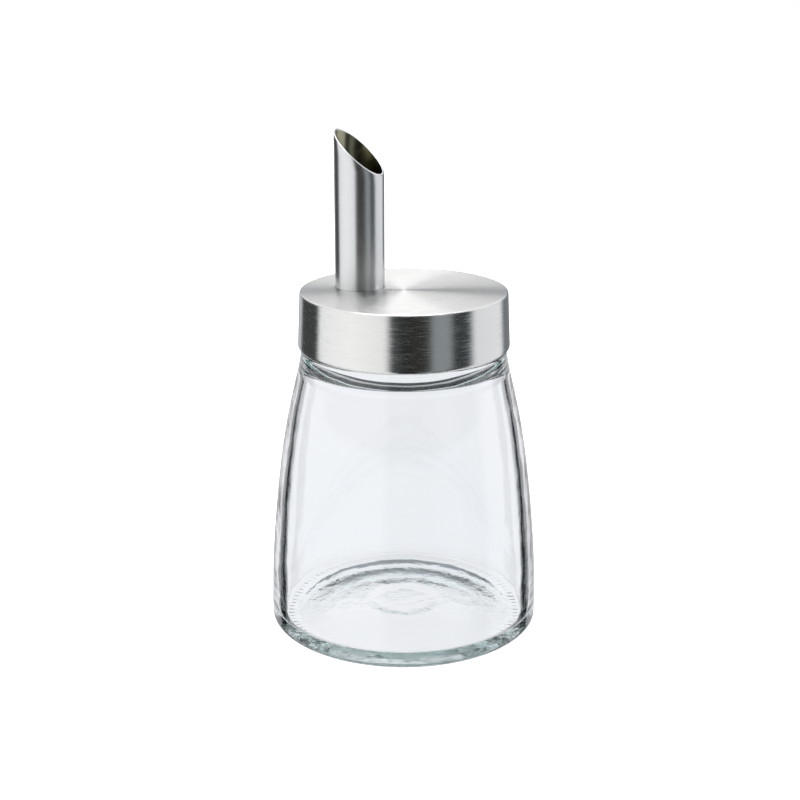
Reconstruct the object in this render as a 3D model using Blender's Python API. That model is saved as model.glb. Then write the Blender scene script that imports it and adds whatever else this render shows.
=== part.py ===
# Milk creamer: an empty glass jar, a steel screw cap and an off-centre steel pouring spout.
# Metres, +Z up. The origin is at the centre of the jar's foot, on the surface it stands on.
# The spout stands toward -X of the axis, and the part is a mirror image of itself across XZ.

import math

import bmesh
import bpy
from mathutils import Matrix, Vector

# Jar: the glass body below the cap
FOOT_RADIUS = 0.0350
HEEL_WIDTH = 0.0054
HEEL_HEIGHT = 0.0028
BEARING_RING_WIDTH = 0.0016
PUSH_UP_HEIGHT = 0.0029
FLOOR_EDGE_HEIGHT = 0.0045
FLOOR_CROWN = 0.0006
FLOOR_CORNER_RADIUS = 0.0010
WALL_LOW = 0.0031
WALL_HIGH = 0.0020

# Jar: height and outer radius where the body's curve is given
BODY_STATIONS = (
    (0.0055, 0.03508),
    (0.0200, 0.03452),
    (0.0400, 0.03262),
    (0.0545, 0.03045),
    (0.0635, 0.02852),
    (0.0698, 0.02705),
)
SHOULDER_RADIUS = 0.0263
SHOULDER_HEIGHT = 0.0744
SHOULDER_ROUND = 0.0006

# Jar: the plain neck that the cap hides
NECK_RADIUS = 0.0249
NECK_BORE_RADIUS = 0.0228
NECK_TOP = 0.0884
NECK_RIM_ROUND = 0.0006
INNER_SHOULDER_LOW = 0.0700
INNER_SHOULDER_HIGH = 0.0730
INNER_SHOULDER_EASE = 1.15

# Cap
CAP_TOP = 0.0895
CAP_BOTTOM = 0.0747
CAP_RADIUS_HIGH = 0.02648
CAP_RADIUS_LOW = 0.02707
CAP_TOP_ROUND = 0.00052
CAP_HEM_ROUND = 0.00110
CAP_HEM_INNER_ROUND = 0.00025
CAP_PLATE = 0.0008
CAP_INNER_RADIUS = 0.02568

# Spout
SPOUT_OFFSET = 0.0120
SPOUT_RADIUS = 0.00635
SPOUT_WALL = 0.0006
SPOUT_TIP = 0.1295
SPOUT_LOW_END = 0.1182
SPOUT_BOTTOM = CAP_TOP - CAP_PLATE
FIT_GAP = 0.0003

# Fineness
JAR_STEPS = 56
CAP_STEPS = 56
SPOUT_STEPS = 40
CURVE_POINTS = 14
ROUND_POINTS = 3


def clear_scene():
    for old in list(bpy.data.objects):
        bpy.data.objects.remove(old, do_unlink=True)


def surface(name, colour, roughness, metallic, transmission=0.0):
    material = bpy.data.materials.new(name)
    material.use_nodes = True
    shader = material.node_tree.nodes["Principled BSDF"]
    shader.inputs["Base Color"].default_value = (*colour, 1.0)
    shader.inputs["Roughness"].default_value = roughness
    shader.inputs["Metallic"].default_value = metallic
    shader.inputs["Transmission Weight"].default_value = transmission
    return material


def corner(centre, radii, start, end, points=ROUND_POINTS):
    # Points along a quarter of an ellipse; angles in degrees from +X in the profile
    found = []
    for index in range(points + 1):
        angle = math.radians(start + (end - start) * index / points)
        found.append((centre[0] + radii[0] * math.cos(angle), centre[1] + radii[1] * math.sin(angle)))
    return found


def through(stations, height):
    # Radius at a height on a smooth curve through the stations
    last = len(stations) - 1
    for index in range(last):
        low, high = stations[index], stations[index + 1]
        if height <= high[0] or index == last - 1:
            break
    before = stations[max(index - 1, 0)]
    after = stations[min(index + 2, last)]
    span = high[0] - low[0]
    slope_low = (high[1] - before[1]) / (high[0] - before[0])
    slope_high = (after[1] - low[1]) / (after[0] - low[0])
    t = (height - low[0]) / span
    return (
        (2 * t ** 3 - 3 * t ** 2 + 1) * low[1]
        + (t ** 3 - 2 * t ** 2 + t) * span * slope_low
        + (3 * t ** 2 - 2 * t ** 3) * high[1]
        + (t ** 3 - t ** 2) * span * slope_high
    )


def spread(low, high, count):
    return [low + (high - low) * index / (count - 1) for index in range(count)]


def outer_radius(height):
    stations = BODY_STATIONS + ((SHOULDER_HEIGHT - SHOULDER_ROUND, SHOULDER_RADIUS),)
    return through(stations, height)


def inner_radius(height):
    # The wall thins toward the neck, then the inner shoulder turns in and eases into the bore
    rise = (height - FLOOR_EDGE_HEIGHT) / (INNER_SHOULDER_LOW - FLOOR_EDGE_HEIGHT)
    wall = WALL_LOW + (WALL_HIGH - WALL_LOW) * min(max(rise, 0.0), 1.0)
    body = outer_radius(min(height, SHOULDER_HEIGHT - SHOULDER_ROUND)) - wall
    draw = min(max((height - INNER_SHOULDER_LOW) / (INNER_SHOULDER_HIGH - INNER_SHOULDER_LOW), 0.0), 1.0)
    return body + (NECK_BORE_RADIUS - body) * (1 - (1 - draw) ** INNER_SHOULDER_EASE)


def jar_profile():
    corner_height = FLOOR_EDGE_HEIGHT + FLOOR_CORNER_RADIUS
    corner_x = inner_radius(corner_height) - FLOOR_CORNER_RADIUS
    points = []
    # Inside: crowned floor, corner, wall, inner shoulder, neck bore
    for part in spread(0.0, 1.0, 4)[:-1]:
        points.append((corner_x * part, FLOOR_EDGE_HEIGHT + FLOOR_CROWN * (1 - part ** 2)))
    points += corner((corner_x, corner_height), (FLOOR_CORNER_RADIUS,) * 2, -90, 0)
    for height in spread(corner_height, INNER_SHOULDER_LOW, 9)[1:]:
        points.append((inner_radius(height), height))
    for height in spread(INNER_SHOULDER_LOW, INNER_SHOULDER_HIGH, 5)[1:]:
        points.append((inner_radius(height), height))
    # Rim and the outside of the neck
    rim = NECK_TOP - NECK_RIM_ROUND
    points += corner((NECK_BORE_RADIUS + NECK_RIM_ROUND, rim), (NECK_RIM_ROUND,) * 2, 180, 90, 2)
    points += corner((NECK_RADIUS - NECK_RIM_ROUND, rim), (NECK_RIM_ROUND,) * 2, 90, 0, 2)
    # Shoulder ledge under the cap, then the body down to the heel
    points.append((NECK_RADIUS, SHOULDER_HEIGHT))
    shoulder_base = SHOULDER_HEIGHT - SHOULDER_ROUND
    ledge_centre = (SHOULDER_RADIUS - SHOULDER_ROUND, shoulder_base)
    points += corner(ledge_centre, (SHOULDER_ROUND,) * 2, 90, 0, 2)
    for height in spread(shoulder_base, BODY_STATIONS[0][0], CURVE_POINTS)[1:]:
        points.append((outer_radius(height), height))
    # Heel, bearing ring and the push-up under the floor
    points += corner((FOOT_RADIUS - HEEL_WIDTH, HEEL_HEIGHT), (HEEL_WIDTH, HEEL_HEIGHT), 0, -90, 5)
    ring_inner = FOOT_RADIUS - HEEL_WIDTH - BEARING_RING_WIDTH
    for part in spread(1.0, 0.0, 6):
        points.append((ring_inner * part, PUSH_UP_HEIGHT * (1 - part ** 2)))
    return points


def cap_profile():
    # A drawn shell, open below, with a thicker rolled hem
    plate_under = CAP_TOP - CAP_PLATE
    hem = CAP_HEM_ROUND
    inner = CAP_HEM_INNER_ROUND
    points = [(0.0, plate_under), (CAP_INNER_RADIUS, plate_under)]
    hem_centre = (CAP_INNER_RADIUS + inner, CAP_BOTTOM + inner)
    points += corner(hem_centre, (inner,) * 2, 180, 270, 2)
    points += corner((CAP_RADIUS_LOW - hem, CAP_BOTTOM + hem), (hem,) * 2, -90, 0, 4)
    top_centre = (CAP_RADIUS_HIGH - CAP_TOP_ROUND, CAP_TOP - CAP_TOP_ROUND)
    points += corner(top_centre, (CAP_TOP_ROUND,) * 2, 0, 90, 4)
    points.append((CAP_RADIUS_HIGH * 0.5, CAP_TOP))
    points.append((0.0, CAP_TOP))
    # The screw runs down the outer side, so the list is turned round
    return points[::-1]


def spout_profile():
    inner = SPOUT_RADIUS - SPOUT_WALL
    top = SPOUT_TIP + SPOUT_WALL
    return [(inner, SPOUT_BOTTOM), (inner, top), (SPOUT_RADIUS, top), (SPOUT_RADIUS, SPOUT_BOTTOM)]


def turned(name, points, steps, material, closed=False):
    # One object turned from a profile in the XZ plane about its own Z axis
    mesh = bpy.data.meshes.new(name)
    form = bmesh.new()
    verts = [form.verts.new((radius, 0.0, height)) for radius, height in points]
    pairs = list(zip(verts, verts[1:]))
    if closed:
        pairs.append((verts[-1], verts[0]))
    for first, second in pairs:
        form.edges.new((first, second))
    form.to_mesh(mesh)
    form.free()
    mesh.materials.append(material)
    made = bpy.data.objects.new(name, mesh)
    bpy.context.scene.collection.objects.link(made)
    screw = made.modifiers.new("Turn", "SCREW")
    screw.steps = steps
    screw.render_steps = steps
    screw.use_merge_vertices = True
    screw.merge_threshold = 0.00001
    screw.use_smooth_shade = True
    return made


def cutter(name, build, place):
    # A closed helper mesh that a Boolean takes away
    mesh = bpy.data.meshes.new(name)
    form = bmesh.new()
    build(form)
    form.to_mesh(mesh)
    form.free()
    made = bpy.data.objects.new(name, mesh)
    made.matrix_world = place
    made.hide_render = True
    made.display_type = "WIRE"
    bpy.context.scene.collection.objects.link(made)
    return made


def subtract(target, tool):
    cut = target.modifiers.new("Cut", "BOOLEAN")
    cut.operation = "DIFFERENCE"
    cut.solver = "EXACT"
    cut.object = tool


def soften(made, degrees=35.0):
    # Smooth shading on the round faces, with the true edges kept crisp
    bpy.context.view_layer.update()
    shape = made.evaluated_get(bpy.context.evaluated_depsgraph_get())
    mesh = bpy.data.meshes.new_from_object(shape)
    made.modifiers.clear()
    made.data = mesh
    mesh.shade_smooth()
    mesh.set_sharp_from_angle(angle=math.radians(degrees))


def main():
    clear_scene()
    glass = surface("clear_glass", (0.93, 0.97, 0.96), 0.02, 0.0, 1.0)
    cap_steel = surface("brushed_steel_cap", (0.66, 0.65, 0.63), 0.30, 1.0)
    spout_steel = surface("brushed_steel_spout", (0.60, 0.58, 0.55), 0.33, 1.0)

    root = bpy.data.objects.new("creamer", None)
    bpy.context.scene.collection.objects.link(root)

    jar = turned("glass_jar", jar_profile(), JAR_STEPS, glass)
    cap = turned("screw_cap", cap_profile(), CAP_STEPS, cap_steel)
    spout = turned("pouring_spout", spout_profile(), SPOUT_STEPS, spout_steel, closed=True)
    spout.location.x = -SPOUT_OFFSET
    for piece in (jar, cap, spout):
        piece.parent = root

    # The hole that the spout stands in, through the cap's plate only
    hole_radius = SPOUT_RADIUS + FIT_GAP
    hole_depth = CAP_PLATE * 4

    def hole(form):
        bmesh.ops.create_cone(
            form, cap_ends=True, segments=SPOUT_STEPS, radius1=hole_radius,
            radius2=hole_radius, depth=hole_depth)

    hole_place = Matrix.Translation((-SPOUT_OFFSET, 0.0, CAP_TOP - CAP_PLATE / 2))
    subtract(cap, cutter("spout_hole", hole, hole_place))

    # The slanted cut: high on the outer side at -X, low toward the axis
    cut_size = 0.05
    cut_tilt = math.atan2(SPOUT_TIP - SPOUT_LOW_END, 2 * SPOUT_RADIUS)

    def block(form):
        bmesh.ops.create_cube(form, size=cut_size)
        bmesh.ops.translate(form, verts=form.verts, vec=Vector((0.0, 0.0, cut_size / 2)))

    cut_centre = (-SPOUT_OFFSET, 0.0, (SPOUT_TIP + SPOUT_LOW_END) / 2)
    cut_place = Matrix.Translation(cut_centre) @ Matrix.Rotation(cut_tilt, 4, "Y")
    subtract(spout, cutter("spout_cut", block, cut_place))

    for piece in (jar, cap, spout):
        soften(piece)


main()
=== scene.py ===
# Milk creamer: clear pressed glass jar, lathe-brushed steel cap and a slant-cut steel spout
import math

import bmesh
import bpy
from mathutils import Matrix


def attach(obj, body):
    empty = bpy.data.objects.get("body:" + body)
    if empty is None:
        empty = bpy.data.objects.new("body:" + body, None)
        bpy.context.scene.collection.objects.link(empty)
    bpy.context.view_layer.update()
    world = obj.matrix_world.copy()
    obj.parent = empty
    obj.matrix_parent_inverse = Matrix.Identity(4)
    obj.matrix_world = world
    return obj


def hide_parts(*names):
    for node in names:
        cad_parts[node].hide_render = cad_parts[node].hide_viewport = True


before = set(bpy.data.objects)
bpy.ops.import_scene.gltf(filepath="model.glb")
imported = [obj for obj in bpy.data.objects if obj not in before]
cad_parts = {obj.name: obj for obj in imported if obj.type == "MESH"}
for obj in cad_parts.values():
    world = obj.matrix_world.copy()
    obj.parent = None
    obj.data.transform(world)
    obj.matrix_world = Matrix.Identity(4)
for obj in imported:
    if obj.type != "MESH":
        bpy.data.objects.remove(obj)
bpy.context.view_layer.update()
mm = 0.001
touching = 1e-7  # metres, points closer than this are one point

# The photograph's viewpoint, fitted to the rims of cap, spout and foot
camera = {
    "azimuth": 20.7,  # degrees round from -Y, so that the spout stands at the left and a little back
    "distance": 386.0,  # mm from the jar's axis, level
    "height": 180.0,  # mm above the table
    "pitch": 17.228,  # degrees down
    "turn": 0.147,  # degrees, sets the jar just right of the middle
    "lens": 70.33,
    "sensor": 36.0,
    "clip": (0.01, 20.0),  # metres
}


def linearColour(hexText):
    # sRGB hex to the linear values that shader sockets take
    found = []
    for start in (0, 2, 4):
        part = int(hexText[start:start + 2], 16) / 255
        found.append(part / 12.92 if part <= 0.04045 else ((part + 0.055) / 1.055) ** 2.4)
    return (*found, 1.0)


def addNode(tree, kind, values=None, links=None, stops=None, **options):
    # options are the node's own properties, values and links go to its sockets
    node = tree.nodes.new(kind)
    for name, value in options.items():
        setattr(node, name, value)
    for name, value in (values or {}).items():
        node.inputs[name].default_value = value
    for name, source in (links or {}).items():
        tree.links.new(source, node.inputs[name])
    if stops:
        ramp = node.color_ramp
        while len(ramp.elements) < len(stops):
            ramp.elements.new(1.0)
        for element, (place, colour) in zip(ramp.elements, stops):
            element.position = place
            element.color = colour
    return node


def newMaterial(name):
    material = bpy.data.materials.new(name)
    material.use_nodes = True
    material.node_tree.nodes.clear()
    return material, material.node_tree


def spread(low, high, count):
    return [low + (high - low) * index / (count - 1) for index in range(count)]


def roundCorner(centre, radii, start, end, count):
    # Points on a quarter of an ellipse, angles in degrees from the profile's +X
    found = []
    for angle in spread(math.radians(start), math.radians(end), count + 1):
        found.append((centre[0] + radii[0] * math.cos(angle), centre[1] + radii[1] * math.sin(angle)))
    return found


def finishMesh(name, form, material, sharpAngle):
    bmesh.ops.remove_doubles(form, verts=form.verts, dist=touching)
    bmesh.ops.recalc_face_normals(form, faces=form.faces)
    mesh = bpy.data.meshes.new(name)
    form.to_mesh(mesh)
    form.free()
    mesh.materials.append(material)
    mesh.shade_smooth()
    mesh.set_sharp_from_angle(angle=math.radians(sharpAngle))
    made = bpy.data.objects.new(name, mesh)
    bpy.context.scene.collection.objects.link(made)
    return made


def turnProfile(form, profile, steps, lift=None):
    # Turns millimetre points (radius, height) about Z; lift adds to a point's height by its angle
    rings = []
    for radius, height in profile:
        if radius * mm < touching:
            rings.append([form.verts.new((0.0, 0.0, height * mm))])
            continue
        ring = []
        for step in range(steps):
            angle = 2 * math.pi * step / steps
            raised = height + (lift(radius, height, angle) if lift else 0.0)
            ring.append(form.verts.new(
                (radius * mm * math.cos(angle), radius * mm * math.sin(angle), raised * mm)))
        rings.append(ring)
    for inner, outer in zip(rings, rings[1:]):
        for step in range(steps):
            after = (step + 1) % steps
            corners = [inner[step % len(inner)], outer[step % len(outer)]]
            if len(outer) > 1:
                corners.append(outer[after])
            if len(inner) > 1:
                corners.append(inner[after])
            form.faces.new(corners)


# Jar: pressed clear glass, heavy foot, knurled bearing ring, plain neck hidden in the cap
jar = {
    # Sizes in millimetres; heights are above the table, radii from the jar's axis
    "footRadius": 35.0,
    "heelWidth": 5.4,
    "heelHeight": 2.8,
    "ringWidth": 1.6,
    "pushUpHeight": 2.9,
    "plugRadius": 8.5,  # the mould's plug leaves a shallow round mark in the middle of the push-up
    "plugEdge": 4.6,  # width of the slope round the mark
    "plugDrop": 0.41,
    "floorEdge": 4.5,
    "floorCrown": 0.6,  # how much higher the floor is in the middle than at its edge
    "floorCorner": 1.0,
    "wallLow": 3.1,  # thickness at the floor, and where the wall turns in to the neck
    "wallHigh": 2.0,
    # The outside as height and radius, with a smooth curve through them
    "stations": ((5.5, 35.08), (20.0, 34.52), (40.0, 32.62), (54.5, 30.45), (63.5, 28.52), (69.8, 27.05)),
    "shoulderRadius": 26.3,
    "shoulderHeight": 74.4,
    "shoulderRound": 0.6,
    "neckRadius": 24.9,
    "neckBore": 22.8,
    "neckTop": 88.4,
    "neckRound": 0.6,
    "innerShoulderLow": 70.0,
    "innerShoulderHigh": 73.0,
    "innerShoulderEase": 1.15,  # above 1 it turns in sharply below and eases into the neck
    "knurlCount": 96,  # short radial ribs, 2 mm apart, under the heel
    "knurlMiddle": 30.5,  # radius at the middle of a rib, and half its length
    "knurlHalf": 1.35,
    "knurlDepth": 0.16,
    "knurlBelow": 0.8,  # so that only the heel's underside is ribbed
    "sharpAngle": 50,  # degrees, edges sharper than this stay crisp
    "glassIor": 1.51,
    "glassColour": "feffff",
    "tintColour": "a2ebe3",  # iron in the glass: aqua where the light runs through a lot of it
    "tintDensity": 6.5,
    "chillWave": 7.0,  # size of the soft waves that the mould leaves
    "waveHeight": 0.045,
    "stipple": 0.8,  # size of the grain that the mould's foot has
    "stippleHeight": 0.035,
    "markLength": 4.5,  # chill marks in the foot, drawn out round the heel
    "markPitch": 0.7,
    "markHeight": 0.20,
    "footGrain": (4.0, 2.4),  # heights where the grain and the marks set in, and are full
}


def stationRadius(height):
    # A cubic through the stations, up to where the shoulder starts to round off
    shoulderStart = jar["shoulderHeight"] - jar["shoulderRound"]
    stations = jar["stations"] + ((shoulderStart, jar["shoulderRadius"]),)
    last = len(stations) - 1
    index = min(sum(height > station[0] for station in stations[1:]), last - 1)
    low, high = stations[index], stations[index + 1]
    before, after = stations[max(index - 1, 0)], stations[min(index + 2, last)]
    span = high[0] - low[0]
    slopeLow = (high[1] - before[1]) / (high[0] - before[0])
    slopeHigh = (after[1] - low[1]) / (after[0] - low[0])
    t = (height - low[0]) / span
    return (
        (2 * t ** 3 - 3 * t ** 2 + 1) * low[1]
        + (t ** 3 - 2 * t ** 2 + t) * span * slopeLow
        + (3 * t ** 2 - 2 * t ** 3) * high[1]
        + (t ** 3 - t ** 2) * span * slopeHigh
    )


def boreRadius(height):
    rise = (height - jar["floorEdge"]) / (jar["innerShoulderLow"] - jar["floorEdge"])
    wall = jar["wallLow"] + (jar["wallHigh"] - jar["wallLow"]) * min(max(rise, 0.0), 1.0)
    body = stationRadius(min(height, jar["shoulderHeight"] - jar["shoulderRound"])) - wall
    draw = (height - jar["innerShoulderLow"]) / (jar["innerShoulderHigh"] - jar["innerShoulderLow"])
    draw = min(max(draw, 0.0), 1.0)
    return body + (jar["neckBore"] - body) * (1 - (1 - draw) ** jar["innerShoulderEase"])


def jarProfile():
    cornerSize = jar["floorCorner"]
    cornerHeight = jar["floorEdge"] + cornerSize
    cornerRadius = boreRadius(cornerHeight) - cornerSize
    points = []
    for part in spread(0.0, 1.0, 14)[:-1]:
        points.append((cornerRadius * part, jar["floorEdge"] + jar["floorCrown"] * (1 - part ** 2)))
    points += roundCorner((cornerRadius, cornerHeight), (cornerSize,) * 2, -90, 0, 8)
    turnLow, turnHigh = jar["innerShoulderLow"], jar["innerShoulderHigh"]
    points += [(boreRadius(z), z) for z in spread(cornerHeight, turnLow, 30)[1:]]
    points += [(boreRadius(z), z) for z in spread(turnLow, turnHigh, 14)[1:]]
    rim = jar["neckTop"] - jar["neckRound"]
    points += roundCorner((jar["neckBore"] + jar["neckRound"], rim), (jar["neckRound"],) * 2, 180, 90, 4)
    points += roundCorner((jar["neckRadius"] - jar["neckRound"], rim), (jar["neckRound"],) * 2, 90, 0, 4)
    points.append((jar["neckRadius"], jar["shoulderHeight"]))
    shoulderRound = jar["shoulderRound"]
    shoulder = jar["shoulderHeight"] - shoulderRound
    points += roundCorner((jar["shoulderRadius"] - shoulderRound, shoulder), (shoulderRound,) * 2, 90, 0, 5)
    points += [(stationRadius(z), z) for z in spread(shoulder, jar["stations"][0][0], 48)[1:]]
    heel = (jar["footRadius"] - jar["heelWidth"], jar["heelHeight"])
    points += roundCorner(heel, (jar["heelWidth"], jar["heelHeight"]), 0, -90, 24)
    ringInner = heel[0] - jar["ringWidth"]
    points += [(radius, 0.0) for radius in spread(heel[0], ringInner, 4)[1:]]
    for part in spread(1.0, 0.0, 56)[1:]:
        radius = ringInner * part
        edge = min(max((radius - jar["plugRadius"]) / jar["plugEdge"] + 0.5, 0.0), 1.0)
        plug = jar["plugDrop"] * (0.5 + 0.5 * math.cos(math.pi * edge))
        points.append((radius, jar["pushUpHeight"] * (1 - part ** 2) - plug))
    return points


def knurlLift(radius, height, angle):
    # Ribs pressed into the underside of the heel; they fade out at both ends
    away = abs(radius - jar["knurlMiddle"]) / jar["knurlHalf"]
    if height > jar["knurlBelow"] or away > 1:
        return 0.0
    return jar["knurlDepth"] * (1 - away ** 2) * (0.5 - 0.5 * math.cos(jar["knurlCount"] * angle))


def clearPressedGlass():
    # Soda-lime glass pressed in an iron mould: clear, faintly aqua in the foot, surface a little wavy
    material, tree = newMaterial("clearPressedGlass")
    place = addNode(tree, "ShaderNodeTexCoord")
    waves = addNode(tree, "ShaderNodeTexNoise", links={"Vector": place.outputs["Object"]},
                    values={"Scale": 1 / (jar["chillWave"] * mm), "Detail": 1.5, "Roughness": 0.4})
    grain = addNode(tree, "ShaderNodeTexNoise", links={"Vector": place.outputs["Object"]},
                    values={"Scale": 1 / (jar["stipple"] * mm), "Detail": 2.0})
    parts = addNode(tree, "ShaderNodeSeparateXYZ", links={"Vector": place.outputs["Object"]})
    drawn = addNode(tree, "ShaderNodeVectorMath", operation="MULTIPLY", links={0: place.outputs["Object"]},
                    values={1: (1 / (jar["markLength"] * mm),) * 2 + (1 / (jar["markPitch"] * mm),)})
    marks = addNode(tree, "ShaderNodeTexNoise", links={"Vector": drawn.outputs["Vector"]},
                    values={"Scale": 1.0, "Detail": 2.0})
    fine = addNode(tree, "ShaderNodeMath", operation="MULTIPLY",
                   links={0: grain.outputs["Fac"]}, values={1: jar["stippleHeight"]})
    uneven = addNode(tree, "ShaderNodeMath", operation="MULTIPLY_ADD",
                     links={0: marks.outputs["Fac"], 2: fine.outputs["Value"]},
                     values={1: jar["markHeight"]})
    under = addNode(tree, "ShaderNodeMapRange", links={"Value": parts.outputs["Z"]}, values={
        "From Min": jar["footGrain"][0] * mm, "From Max": jar["footGrain"][1] * mm})
    stipple = addNode(tree, "ShaderNodeMath", operation="MULTIPLY",
                      links={0: uneven.outputs["Value"], 1: under.outputs["Result"]})
    relief = addNode(tree, "ShaderNodeMath", operation="MULTIPLY_ADD",
                     links={0: waves.outputs["Fac"], 2: stipple.outputs["Value"]},
                     values={1: jar["waveHeight"]})
    ripple = addNode(tree, "ShaderNodeBump", links={"Height": relief.outputs["Value"]},
                     values={"Strength": 1.0, "Distance": mm})
    shader = addNode(tree, "ShaderNodeBsdfPrincipled", links={"Normal": ripple.outputs["Normal"]}, values={
        "Base Color": linearColour(jar["glassColour"]),
        "Roughness": 0.0,
        "IOR": jar["glassIor"],
        "Transmission Weight": 1.0,
    })
    tint = addNode(tree, "ShaderNodeVolumeAbsorption", values={
        "Color": linearColour(jar["tintColour"]), "Density": jar["tintDensity"]})
    addNode(tree, "ShaderNodeOutputMaterial", links={
        "Surface": shader.outputs["BSDF"], "Volume": tint.outputs["Volume"]})
    return material


def buildJar():
    form = bmesh.new()
    turnProfile(form, jarProfile(), jar["knurlCount"] * 4, knurlLift)
    return finishMesh("jarGlass", form, clearPressedGlass(), jar["sharpAngle"])


# Cap: drawn stainless shell, turned and brushed on a lathe, so every scratch is a circle
cap = {
    # Millimetres, as for the jar
    "top": 89.5,
    "bottom": 74.7,
    "radiusHigh": 26.48,
    "radiusLow": 27.07,
    "topRound": 0.52,
    "hemRound": 1.1,
    "hemInner": 0.25,
    "plate": 0.8,
    "innerRadius": 25.68,
    "innerCorner": 0.4,
    "flatFrom": 6.0,  # radius of the innermost ring of the flat faces
    "steps": 288,
    "sharpAngle": 40,
    "holeGap": 0.10,  # the spout is pressed in, so only a hairline shows
    "steelColour": "d5d5d4",
    "roughness": 0.19,
    "topRoughness": 0.30,
    "topFrom": 89.2,  # height from which the top's finish holds
    "anisotropy": 0.95,
    "scratchPitch": 0.30,  # finer in truth, drawn this coarse to show at this size
    "scratchLength": 4.0,
    "scratchDepth": 0.03,
    "streak": 0.16,  # how much duller the deepest scratches are
}

# Spout: half-inch stainless tube, belt-ground round and round, its slanted mouth deburred
spout = {
    # Millimetres too; the tube's own axis stands this far from the jar's
    "offset": 12.0,
    "radius": 6.35,
    "wall": 0.6,
    "tip": 129.5,  # height of the slanted mouth on its high side, then on its low side
    "lowEnd": 118.2,
    "bottom": 88.7,
    "steps": 128,
    "steelColour": "cfd0d1",
    "roughness": 0.30,
    "topRoughness": 0.30,
    "topFrom": 200.0,  # above the tip, so the whole tube has the side's finish
    "anisotropy": 0.66,
    "scratchPitch": 0.25,
    "scratchLength": 0.45,
    "scratchDepth": 0.010,
    "streak": 0.08,
    # painted shade: the bore's colour is darkened to stand in for the shadow inside the tube
    "borePaintedShadeColour": "94917b",
    "boreRoughness": 0.24,
    "boreUneven": 0.08,
    "boreLines": (0.833, 6.67),  # pitch and length of the drawing lines
    "boreReach": 0.02,  # beyond the inner radius, and still counted as the inside
    "sharpAngle": 40,
}

# What the two brushed steels share
satin = {
    "topBlend": 0.3,  # mm of height over which the top's finish takes over from the side's
    "broadAlong": 0.35,  # the second, broader pattern, as a share of the fine one's scale
    "broadAcross": 0.22,
    "broadShade": (0.98, 1.01),
    "glossFrom": (0.45, 0.75),  # part of the fine pattern that dulls the steel
    "glossLift": -0.02,
    "scratchStrength": 0.6,
}


def brushedSteel(name, look):
    # Stainless steel with circular satin scratches: they stretch each reflection across themselves
    material, tree = newMaterial(name)
    place = addNode(tree, "ShaderNodeTexCoord")
    parts = addNode(tree, "ShaderNodeSeparateXYZ", links={"Vector": place.outputs["Object"]})
    flat = addNode(tree, "ShaderNodeCombineXYZ", links={"X": parts.outputs["X"], "Y": parts.outputs["Y"]})
    radius = addNode(tree, "ShaderNodeVectorMath", operation="LENGTH", links={0: flat.outputs["Vector"]})
    # One run across the scratches, over the top and down the side
    run = addNode(tree, "ShaderNodeMath", operation="SUBTRACT",
                  links={0: radius.outputs["Value"], 1: parts.outputs["Z"]})
    along = 1 / (look["scratchLength"] * mm)
    across = 1 / (look["scratchPitch"] * mm)
    stretched = []
    broad = (along * satin["broadAlong"], across * satin["broadAcross"])
    for wide, narrow in ((along, across), broad):
        joined = addNode(tree, "ShaderNodeCombineXYZ", links={
            "X": parts.outputs["X"], "Y": parts.outputs["Y"], "Z": run.outputs["Value"]})
        scaled = addNode(tree, "ShaderNodeVectorMath", operation="MULTIPLY",
                         links={0: joined.outputs["Vector"]}, values={1: (wide, wide, narrow)})
        stretched.append(scaled.outputs["Vector"])
    fine = addNode(tree, "ShaderNodeTexNoise", links={"Vector": stretched[0]},
                   values={"Scale": 1.0, "Detail": 3.0, "Roughness": 0.6})
    cloud = addNode(tree, "ShaderNodeTexNoise", links={"Vector": stretched[1]},
                    values={"Scale": 1.0, "Detail": 2.0, "Roughness": 0.5})
    shade = addNode(tree, "ShaderNodeMapRange", links={"Value": cloud.outputs["Fac"]}, values={
        "From Min": 0.3, "From Max": 0.7, "To Min": satin["broadShade"][0], "To Max": satin["broadShade"][1]})
    colour = addNode(tree, "ShaderNodeMix", data_type="RGBA", blend_type="MULTIPLY",
                     links={7: shade.outputs["Result"]},
                     values={0: 1.0, 6: linearColour(look["steelColour"])})
    # The flat top is brushed coarser than the side
    finish = addNode(tree, "ShaderNodeMapRange", links={"Value": parts.outputs["Z"]}, values={
        "From Min": (look["topFrom"] - satin["topBlend"]) * mm, "From Max": look["topFrom"] * mm,
        "To Min": look["roughness"], "To Max": look["topRoughness"]})
    uneven = addNode(tree, "ShaderNodeMapRange", links={"Value": fine.outputs["Fac"]}, values={
        "From Min": satin["glossFrom"][0], "From Max": satin["glossFrom"][1],
        "To Min": satin["glossLift"], "To Max": look["streak"]})
    gloss = addNode(tree, "ShaderNodeMath", operation="ADD",
                    links={0: finish.outputs["Result"], 1: uneven.outputs["Result"]})
    scratches = addNode(tree, "ShaderNodeBump", links={"Height": fine.outputs["Fac"]},
                        values={"Strength": satin["scratchStrength"],
                                "Distance": look["scratchDepth"] * mm})
    tangent = addNode(tree, "ShaderNodeTangent", direction_type="RADIAL", axis="Z")
    shader = addNode(tree, "ShaderNodeBsdfPrincipled", links={
        "Base Color": colour.outputs[2],
        "Roughness": gloss.outputs["Value"],
        "Normal": scratches.outputs["Normal"],
        "Tangent": tangent.outputs["Tangent"],
    }, values={
        "Metallic": 1.0,
        "Anisotropic": look["anisotropy"],
        "Anisotropic Rotation": 0.25,  # the scratches run round, the glint across them
    })
    addNode(tree, "ShaderNodeOutputMaterial", links={"Surface": shader.outputs["BSDF"]})
    return material


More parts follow.
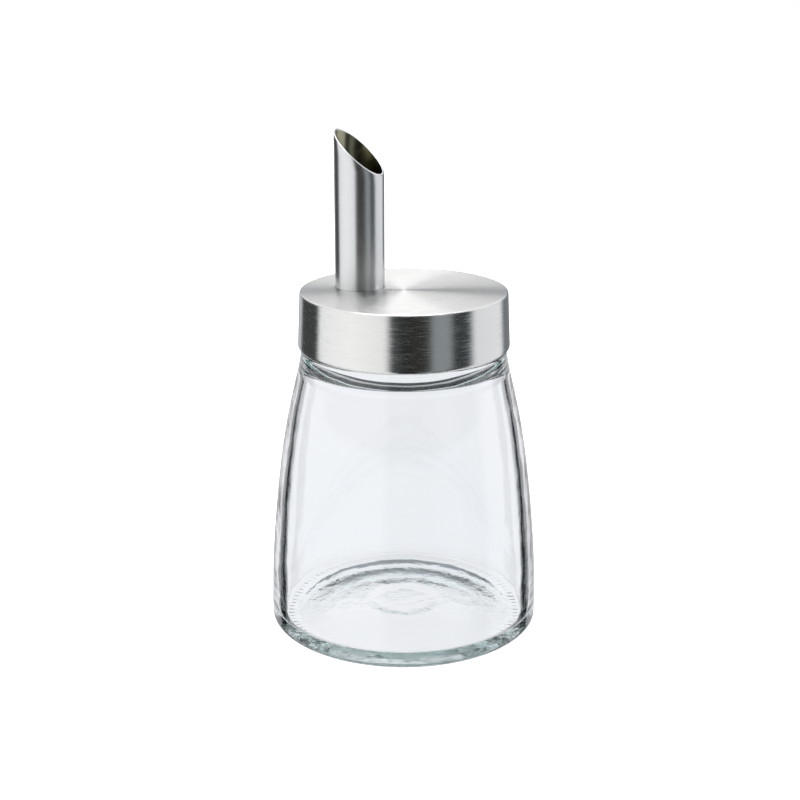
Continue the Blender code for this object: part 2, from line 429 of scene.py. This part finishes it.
def boreSteelPaintedShade():
    # Inside of the drawn tube, never ground: dull; its darker olive colour is painted shade, standing in for
    # the shadow inside the tube
    material, tree = newMaterial("boreSteelPaintedShade")
    place = addNode(tree, "ShaderNodeTexCoord")
    pitch, length = (1 / (size * mm) for size in spout["boreLines"])
    scaled = addNode(tree, "ShaderNodeVectorMath", operation="MULTIPLY",
                     links={0: place.outputs["Object"]}, values={1: (pitch, pitch, length)})
    lines = addNode(tree, "ShaderNodeTexNoise", links={"Vector": scaled.outputs["Vector"]},
                    values={"Scale": 1.0, "Detail": 2.0})
    gloss = addNode(tree, "ShaderNodeMapRange", links={"Value": lines.outputs["Fac"]}, values={
        "To Min": spout["boreRoughness"] - spout["boreUneven"],
        "To Max": spout["boreRoughness"] + spout["boreUneven"]})
    shader = addNode(tree, "ShaderNodeBsdfPrincipled", links={"Roughness": gloss.outputs["Result"]}, values={
        "Base Color": linearColour(spout["borePaintedShadeColour"]),
        "Metallic": 1.0,
    })
    addNode(tree, "ShaderNodeOutputMaterial", links={"Surface": shader.outputs["BSDF"]})
    return material


def capProfile():
    under = cap["top"] - cap["plate"]
    inner, hem = cap["hemInner"], cap["hemRound"]
    points = [(0.0, under)]
    bend = cap["innerCorner"]
    points += [(radius, under) for radius in spread(cap["flatFrom"], cap["innerRadius"] - 1.5 * bend, 4)]
    points += roundCorner((cap["innerRadius"] - bend, under - bend), (bend, bend), 90, 0, 3)
    points += roundCorner((cap["innerRadius"] + inner, cap["bottom"] + inner), (inner,) * 2, 180, 270, 4)
    points += roundCorner((cap["radiusLow"] - hem, cap["bottom"] + hem), (hem,) * 2, -90, 0, 10)
    low = (cap["radiusLow"], cap["bottom"] + hem)
    high = (cap["radiusHigh"], cap["top"] - cap["topRound"])
    for part in (0.05, 0.5, 0.95):  # the outer two keep the shading of the corners tight
        points.append((low[0] + (high[0] - low[0]) * part, low[1] + (high[1] - low[1]) * part))
    points += roundCorner((high[0] - cap["topRound"], high[1]), (cap["topRound"],) * 2, 0, 90, 8)
    topEdge = high[0] - cap["topRound"] - bend
    points += [(radius, cap["top"]) for radius in spread(topEdge, cap["flatFrom"], 4)]
    points.append((0.0, cap["top"]))
    return points


def buildCap():
    form = bmesh.new()
    turnProfile(form, capProfile(), cap["steps"])
    made = finishMesh("capShell", form, brushedSteel("latheBrushedSteel", cap), cap["sharpAngle"])
    # The hole that the spout is pressed into
    hole = bmesh.new()
    # Turned half a step, so that its corners miss the spokes of the cap's rings
    placed = (Matrix.Translation((-spout["offset"] * mm, 0.0, cap["top"] * mm))
              @ Matrix.Rotation(math.pi / spout["steps"], 4, "Z"))
    holeRadius = (spout["radius"] + cap["holeGap"]) * mm
    bmesh.ops.create_cone(hole, cap_ends=True, segments=spout["steps"], depth=cap["plate"] * 6 * mm,
                          radius1=holeRadius, radius2=holeRadius, matrix=placed)
    holeMesh = bpy.data.meshes.new("spoutHole")
    hole.to_mesh(holeMesh)
    hole.free()
    tool = bpy.data.objects.new("spoutHole", holeMesh)
    bpy.context.scene.collection.objects.link(tool)
    cut = made.modifiers.new("Hole", "BOOLEAN")
    cut.operation = "DIFFERENCE"
    cut.solver = "EXACT"
    cut.object = tool
    bpy.context.view_layer.update()
    evaluated = made.evaluated_get(bpy.context.evaluated_depsgraph_get())
    cutMesh = bpy.data.meshes.new_from_object(evaluated)
    made.modifiers.clear()
    # Points that the cut leaves on top of each other become one
    cleaned = bmesh.new()
    cleaned.from_mesh(cutMesh)
    bmesh.ops.remove_doubles(cleaned, verts=cleaned.verts, dist=10 * touching)
    cleaned.to_mesh(cutMesh)
    cleaned.free()
    made.data = cutMesh
    cutMesh.shade_smooth()
    cutMesh.set_sharp_from_angle(angle=math.radians(cap["sharpAngle"]))
    bpy.data.objects.remove(tool)
    return made


def buildSpout():
    form = bmesh.new()
    outer, inner = spout["radius"], spout["radius"] - spout["wall"]
    slope = (spout["tip"] - spout["lowEnd"]) / (2 * outer)
    middle = (spout["tip"] + spout["lowEnd"]) / 2
    edge = spout["wall"] / 2
    # Each entry: radius, share of the way up to the mouth, and how far below the cut plane it ends
    rows = [(inner, share, edge) for share in spread(1.0, 0.0, 14)]
    rows += [(outer, share, edge) for share in spread(0.0, 1.0, 14)]
    for angle in spread(0.0, math.pi, 9)[1:-1]:
        rows.append((outer - edge + edge * math.cos(angle), 1.0, edge * (1 - math.sin(angle))))
    rings = []
    for radius, share, drop in rows:
        ring = []
        for step in range(spout["steps"]):
            angle = 2 * math.pi * step / spout["steps"]
            x, y = radius * math.cos(angle), radius * math.sin(angle)
            top = middle - slope * x - drop
            z = spout["bottom"] + (top - spout["bottom"]) * share
            ring.append(form.verts.new((x * mm, y * mm, z * mm)))
        rings.append(ring)
    for low, high in zip(rings, rings[1:] + rings[:1]):
        for step in range(spout["steps"]):
            after = (step + 1) % spout["steps"]
            form.faces.new((low[step], low[after], high[after], high[step]))
    made = finishMesh("spoutTube", form, brushedSteel("beltGroundSteel", spout), spout["sharpAngle"])
    # The inside faces get the bore steel, whose darker colour is painted shade
    made.data.materials.append(boreSteelPaintedShade())
    for face in made.data.polygons:
        if math.hypot(face.center.x, face.center.y) < (inner + spout["boreReach"]) * mm:
            face.material_index = 1
    made.location.x = -spout["offset"] * mm
    return made


for build, node, slotName in (
    (buildJar, "glass_jar", "clear_glass"),
    (buildCap, "screw_cap", "cap_steel"),
    (buildSpout, "pouring_spout", "spout_steel"),
):
    piece = build()
    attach(piece, "root")
    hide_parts(node)
    print("made", piece.name, len(piece.data.polygons), "faces")

# Studio: white sweep and pale floor, soft boxes left and right, dark flags between them
studio = {
    # degrees from the camera's side, right positive, and the light that the metal sees there
    "bands": (
        (-180, "7c7f82"), (-150, "c0c3c5"), (-143, "3c3e3f"), (-108, "3c3e3f"), (-102, "f4f5f6"),
        (-60, "ffffff"), (-20, "f2f2f2"), (-13, "474b4c"), (0, "232627"), (10, "282624"),
        (20, "2b2a28"), (26, "3a3b3b"), (33, "868c8e"), (49, "8a9092"), (57, "34383a"),
        (74, "32373a"), (83, "e2e4e6"), (128, "e8eaec"), (138, "6c7073"), (180, "7c7f82"),
    ),
    "bandStrength": 1.30,
    "overheadShare": 1.02,  # times the bands' strength
    "overheadFrom": 14.9,  # degrees above the horizon where the overhead box starts, behind the jar
    "overheadTo": 16.0,
    "overheadLean": 0.35,  # the box leans over the back, so in front it starts much higher
    "backdropWhite": "ffffff",
    "sweepWhite": "f5f4f8",
    "tableWhite": "f8f6fa",  # the lit table, seen by the light that leaves the glass downward
    "flagDark": "1e2225",  # black flags just outside the picture that draw the dark lines in the glass
    "flagsThrough": (27.0, 48.0),  # degrees each side of straight behind, seen through the glass
    "flagsGlanced": (44.0, 56.0),  # a second pair, that only glances off its edges
    "flagFade": 2.5,  # degrees over which a flag's edge softens
    "sweepTop": -3.0,  # degrees above the horizon where the white sweep behind the jar ends
    "lampBottom": 16.0,  # degrees where the lamp over the sweep begins, its soft edge, and where it ends
    "lampFade": 5.0,
    "lampTop": 34.0,
    "ceilingGrey": "7e868d",  # the dim room above the lamp, seen only by light that the foot turns upward
    "tableBelow": (-27.0, -23.5),  # degrees, where the lit table gives way to the sweep
    "frontBlend": (-0.1, 0.3),  # from the side of the jar to its front, as a cosine
    "floorGlow": 0.96,
    "floorShade": "f4f5f5",
    "floorRoughness": (0.42, 0.5),
    "floorMottle": 25.0,  # mm
    "floorHalf": 3.0,  # metres from the jar to the floor's edge
    "floorDrop": 0.3,  # mm below the jar's foot
    "floorSharp": 30,
    "boxSize": (0.9, 0.7),  # metres, the soft box overhead
    "boxPlace": (0.05, 0.05, 0.9),
    "boxPower": 4.0,
}


def bandPlace(degrees):
    return degrees / 360 + 0.5


def buildWorld():
    world = bpy.data.worlds.new("studioLight")
    bpy.context.scene.world = world
    world.use_nodes = True
    tree = world.node_tree
    tree.nodes.clear()
    place = addNode(tree, "ShaderNodeTexCoord")
    turned = addNode(tree, "ShaderNodeVectorRotate", rotation_type="Z_AXIS",
                     links={"Vector": place.outputs["Generated"]},
                     values={"Angle": -math.radians(camera["azimuth"])})
    parts = addNode(tree, "ShaderNodeSeparateXYZ", links={"Vector": turned.outputs["Vector"]})
    toward = addNode(tree, "ShaderNodeMath", operation="MULTIPLY",
                     links={0: parts.outputs["Y"]}, values={1: -1.0})
    azimuth = addNode(tree, "ShaderNodeMath", operation="ARCTAN2",
                      links={0: parts.outputs["X"], 1: toward.outputs["Value"]})
    share = addNode(tree, "ShaderNodeMapRange", links={"Value": azimuth.outputs["Value"]},
                    values={"From Min": -math.pi, "From Max": math.pi})
    bands = addNode(tree, "ShaderNodeValToRGB", links={"Fac": share.outputs["Result"]},
                    stops=[(bandPlace(d), linearColour(c)) for d, c in studio["bands"]])
    lean, backTop = studio["overheadLean"], []
    for name in ("overheadFrom", "overheadTo"):
        rise = math.radians(studio[name])
        backTop.append(math.sin(rise) + lean * math.cos(rise))
    leaned = addNode(tree, "ShaderNodeMath", operation="MULTIPLY_ADD",
                     links={0: parts.outputs["Y"], 2: parts.outputs["Z"]}, values={1: lean})
    above = addNode(tree, "ShaderNodeMapRange", interpolation_type="SMOOTHSTEP",
                    links={"Value": leaned.outputs["Value"]},
                    values={"From Min": backTop[0], "From Max": backTop[1]})
    metalSees = addNode(tree, "ShaderNodeMix", data_type="RGBA",
                        links={0: above.outputs["Result"], 6: bands.outputs["Color"]},
                        values={7: (studio["overheadShare"],) * 3 + (1.0,)})
    # What shines through the glass: a white sweep, a flag on each side, and a dark gap below the lamp
    white, dark, table = (linearColour(studio[name]) for name in ("sweepWhite", "flagDark", "tableWhite"))
    ceiling = linearColour(studio["ceilingGrey"])
    fade = studio["flagFade"]
    flags = []
    for inner, outer in (studio["flagsThrough"], studio["flagsGlanced"]):
        stops = []
        for side in (-1, 1):
            edges = [180 - inner, 180 - inner - fade, 180 - outer, 180 - outer - fade]
            stops += sorted(zip([bandPlace(side * edge) for edge in edges], (table, dark, dark, table)))
        ramp = addNode(tree, "ShaderNodeValToRGB", links={"Fac": share.outputs["Result"]}, stops=stops)
        flags.append(ramp.outputs["Color"])
    steep = addNode(tree, "ShaderNodeMapRange", links={"Value": parts.outputs["Z"]},
                    values={"From Min": -1.0, "From Max": 1.0})
    sweepStops = []
    tableTop, sweepBottom = studio["tableBelow"]
    for degrees, shade in ((tableTop, table), (sweepBottom, white),
                           (studio["sweepTop"], white), (studio["sweepTop"] + fade, dark),
                           (studio["lampBottom"], dark), (studio["lampBottom"] + studio["lampFade"], white),
                           (studio["lampTop"], white), (studio["lampTop"] + 3 * fade, ceiling)):
        sweepStops.append((0.5 + 0.5 * math.sin(math.radians(degrees)), shade))
    sweep = addNode(tree, "ShaderNodeValToRGB", links={"Fac": steep.outputs["Result"]}, stops=sweepStops)
    through = addNode(tree, "ShaderNodeMix", data_type="RGBA", blend_type="DARKEN", values={0: 1.0},
                      links={6: flags[0], 7: sweep.outputs["Color"]})
    # What glances off the glass: the front of the studio as the metal sees it, and white all round else
    front = addNode(tree, "ShaderNodeMapRange", interpolation_type="SMOOTHSTEP",
                    links={"Value": toward.outputs["Value"]},
                    values={"From Min": studio["frontBlend"][0], "From Max": studio["frontBlend"][1]})
    glance = addNode(tree, "ShaderNodeMix", data_type="RGBA",
                     links={0: front.outputs["Result"], 6: flags[1], 7: metalSees.outputs[2]})
    path = addNode(tree, "ShaderNodeLightPath")
    glassSees = addNode(tree, "ShaderNodeMix", data_type="RGBA", links={
        0: path.outputs["Is Transmission Ray"], 6: glance.outputs[2], 7: through.outputs[2]})
    metalLight = addNode(tree, "ShaderNodeBackground", links={"Color": metalSees.outputs[2]},
                         values={"Strength": studio["bandStrength"]})
    glassLight = addNode(tree, "ShaderNodeBackground", links={"Color": glassSees.outputs[2]})
    plainLight = addNode(tree, "ShaderNodeBackground",
                         values={"Color": linearColour(studio["backdropWhite"])})
    offMetal = addNode(tree, "ShaderNodeMixShader", links={
        0: path.outputs["Is Glossy Ray"], 1: plainLight.outputs[0], 2: metalLight.outputs[0]})
    # The glass is perfectly smooth, so its rays are the singular ones; the satin metal's aren't
    whole = addNode(tree, "ShaderNodeMixShader", links={
        0: path.outputs["Is Singular Ray"], 1: offMetal.outputs[0], 2: glassLight.outputs[0]})
    addNode(tree, "ShaderNodeOutputWorld", links={"Surface": whole.outputs[0]})


def buildFloor():
    # A pale lit table: it glows a little, so it meets the white sweep without a line
    material, tree = newMaterial("paleTable")
    noise = addNode(tree, "ShaderNodeTexNoise",
                    values={"Scale": 1 / (studio["floorMottle"] * mm), "Detail": 2.0})
    dull, duller = studio["floorRoughness"]
    mottle = addNode(tree, "ShaderNodeMapRange", links={"Value": noise.outputs["Fac"]},
                     values={"To Min": dull, "To Max": duller})
    shader = addNode(tree, "ShaderNodeBsdfPrincipled", links={"Roughness": mottle.outputs["Result"]}, values={
        "Base Color": linearColour(studio["floorShade"]),
        "Emission Color": (1.0, 1.0, 1.0, 1.0),
        "Emission Strength": studio["floorGlow"],
        "Specular IOR Level": 0.0,
    })
    addNode(tree, "ShaderNodeOutputMaterial", links={"Surface": shader.outputs["BSDF"]})
    form = bmesh.new()
    bmesh.ops.create_grid(form, x_segments=8, y_segments=8, size=studio["floorHalf"])
    floor = finishMesh("paleFloor", form, material, studio["floorSharp"])
    floor.location.z = -studio["floorDrop"] * mm
    floor.visible_glossy = False
    floor.visible_transmission = False


def buildLight():
    data = bpy.data.lights.new("overheadBox", "AREA")
    data.shape = "RECTANGLE"
    data.size, data.size_y = studio["boxSize"]
    data.energy = studio["boxPower"]
    light = bpy.data.objects.new("overheadBox", data)
    light.location = studio["boxPlace"]
    light.visible_camera = False
    light.visible_transmission = False
    bpy.context.scene.collection.objects.link(light)


def buildCamera():
    data = bpy.data.cameras.new("photoCamera")
    data.sensor_width = camera["sensor"]
    data.lens = camera["lens"]
    data.clip_start, data.clip_end = camera["clip"]
    made = bpy.data.objects.new("photoCamera", data)
    turn = math.radians(camera["azimuth"])
    made.location = (
        camera["distance"] * mm * math.sin(turn),
        -camera["distance"] * mm * math.cos(turn),
        camera["height"] * mm,
    )
    made.rotation_euler = (
        math.pi / 2 - math.radians(camera["pitch"]), 0.0, turn + math.radians(camera["turn"]))
    bpy.context.scene.collection.objects.link(made)
    bpy.context.scene.camera = made


buildWorld()
buildFloor()
buildLight()
buildCamera()
bpy.context.scene.view_settings.view_transform = "Standard"
# Light that is trapped in the thick foot bounces often before it gets out
bpy.context.scene.cycles.max_bounces = 24
bpy.context.scene.cycles.glossy_bounces = 16
bpy.context.scene.cycles.transmission_bounces = 20
print("studio and camera set")
